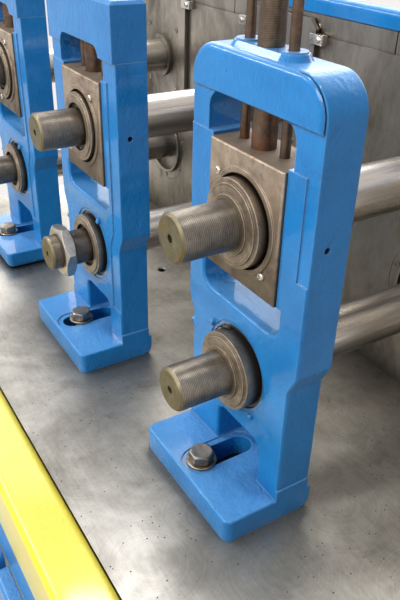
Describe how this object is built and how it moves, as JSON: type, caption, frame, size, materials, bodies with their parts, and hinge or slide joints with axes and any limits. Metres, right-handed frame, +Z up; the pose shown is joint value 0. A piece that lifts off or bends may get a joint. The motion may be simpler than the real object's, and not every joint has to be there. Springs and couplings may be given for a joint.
{
  "type": "roll forming machine section",
  "caption": "Section of a roll forming machine: geared pairs of spindles in blue outboard stands with screw-down blocks, before a steel wall on a floor-standing bed.",
  "frame": {"origin": "on the floor, under the middle of the section", "axes": "+X along the line of stands, +Y from the outboard stands to the inboard wall, +Z up"},
  "size_m": [1.256, 0.784, 1.512],
  "materials": {
    "blue_paint": "glossy brushed-on paint",
    "yellow_paint": "glossy paint",
    "ground_steel": "ground bright",
    "machined_steel": "machined, oily brown",
    "bed_steel": "ground, scratched",
    "wall_steel": "smeared grey steel",
    "dark_steel": "dark oily steel"
  },
  "bodies": {
    "base": {"base_frame": "blue_paint", "front_covers": "blue_paint", "rear_covers": "blue_paint", "front_rail": "yellow_paint", "bed_plate": "bed_steel", "foot_bolts": "dark_steel", "lower_bearings": "machined_steel", "inboard_bearing_caps": "wall_steel", "inboard_wall": "wall_steel", "wall_strips": "wall_steel", "wall_caps": "blue_paint", "gear_case": "blue_paint", "case_covers": "blue_paint", "stand_left": "blue_paint", "stand_cap_left": "blue_paint", "stand_middle": "blue_paint", "stand_cap_middle": "blue_paint", "stand_right": "blue_paint"},
    "lower_spindle_left": {"lower_spindle_left": "ground_steel", "lower_nut_left": "machined_steel"},
    "upper_block_left": {"sliding_block_left": "machined_steel", "inboard_slide_left": "wall_steel", "lifting_rods_left": "dark_steel"},
    "upper_spindle_left": {"upper_spindle_left": "ground_steel", "upper_nut_left": "machined_steel"},
    "adjusting_screw_left": {"adjusting_screw_left": "dark_steel"},
    "lower_spindle_middle": {"lower_spindle_middle": "ground_steel", "lower_nut_middle": "machined_steel", "hex_nut_middle": "machined_steel"},
    "upper_block_middle": {"sliding_block_middle": "machined_steel", "inboard_slide_middle": "wall_steel", "lifting_rods_middle": "dark_steel"},
    "upper_spindle_middle": {"upper_spindle_middle": "ground_steel", "upper_nut_middle": "machined_steel"},
    "adjusting_screw_middle": {"adjusting_screw_middle": "dark_steel"},
    "lower_spindle_right": {"lower_spindle_right": "ground_steel", "lower_nut_right": "machined_steel"},
    "upper_block_right": {"sliding_block_right": "machined_steel", "inboard_slide_right": "wall_steel", "lifting_rods_right": "dark_steel"},
    "upper_spindle_right": {"upper_spindle_right": "ground_steel", "upper_nut_right": "machined_steel"},
    "adjusting_screw_right": {"adjusting_screw_right": "dark_steel"}
  },
  "joints": [
    {"name": "lower_spin_left", "type": "hinge", "parent": "base", "child": "lower_spindle_left", "pos_m": [-0.366, 0, 1.02], "axis": [0, 1, 0], "continuous": true},
    {"name": "block_slide_left", "type": "slide", "parent": "base", "child": "upper_block_left", "axis": [0, 0, 1], "range_m": [-0.018, 0.028]},
    {"name": "upper_spin_left", "type": "hinge", "parent": "upper_block_left", "child": "upper_spindle_left", "pos_m": [-0.366, 0, 1.2], "axis": [0, 1, 0], "continuous": true},
    {"name": "screw_turn_left", "type": "hinge", "parent": "upper_block_left", "child": "adjusting_screw_left", "pos_m": [-0.372, -0.0985, 0.86], "axis": [0, 0, 1], "range_deg": [-2170, 3370]},
    {"name": "lower_spin_middle", "type": "hinge", "parent": "base", "child": "lower_spindle_middle", "pos_m": [0, 0, 1.02], "axis": [0, 1, 0], "continuous": true},
    {"name": "block_slide_middle", "type": "slide", "parent": "base", "child": "upper_block_middle", "axis": [0, 0, 1], "range_m": [-0.018, 0.028]},
    {"name": "upper_spin_middle", "type": "hinge", "parent": "upper_block_middle", "child": "upper_spindle_middle", "pos_m": [0, 0, 1.2], "axis": [0, 1, 0], "continuous": true},
    {"name": "screw_turn_middle", "type": "hinge", "parent": "upper_block_middle", "child": "adjusting_screw_middle", "pos_m": [-0.006, -0.1065, 0.86], "axis": [0, 0, 1], "range_deg": [-2170, 3370]},
    {"name": "lower_spin_right", "type": "hinge", "parent": "base", "child": "lower_spindle_right", "pos_m": [0.366, 0, 1.02], "axis": [0, 1, 0], "continuous": true},
    {"name": "block_slide_right", "type": "slide", "parent": "base", "child": "upper_block_right", "axis": [0, 0, 1], "range_m": [-0.018, 0.028]},
    {"name": "upper_spin_right", "type": "hinge", "parent": "upper_block_right", "child": "upper_spindle_right", "pos_m": [0.366, 0, 1.2], "axis": [0, 1, 0], "continuous": true},
    {"name": "screw_turn_right", "type": "hinge", "parent": "upper_block_right", "child": "adjusting_screw_right", "pos_m": [0.36, -0.0925, 0.86], "axis": [0, 0, 1], "range_deg": [-2170, 3370]}
  ],
  "couplings": [
    {"joint": "lower_spin_left", "follows": "lower_spin_middle", "ratio": 1},
    {"joint": "upper_spin_left", "follows": "lower_spin_middle", "ratio": -1},
    {"joint": "screw_turn_left", "follows": "block_slide_left", "rad_per_m": 2094.4},
    {"joint": "upper_spin_middle", "follows": "lower_spin_middle", "ratio": -1},
    {"joint": "screw_turn_middle", "follows": "block_slide_middle", "rad_per_m": 2094.4},
    {"joint": "lower_spin_right", "follows": "lower_spin_middle", "ratio": 1},
    {"joint": "upper_spin_right", "follows": "lower_spin_middle", "ratio": -1},
    {"joint": "screw_turn_right", "follows": "block_slide_right", "rad_per_m": 2094.4}
  ]
}
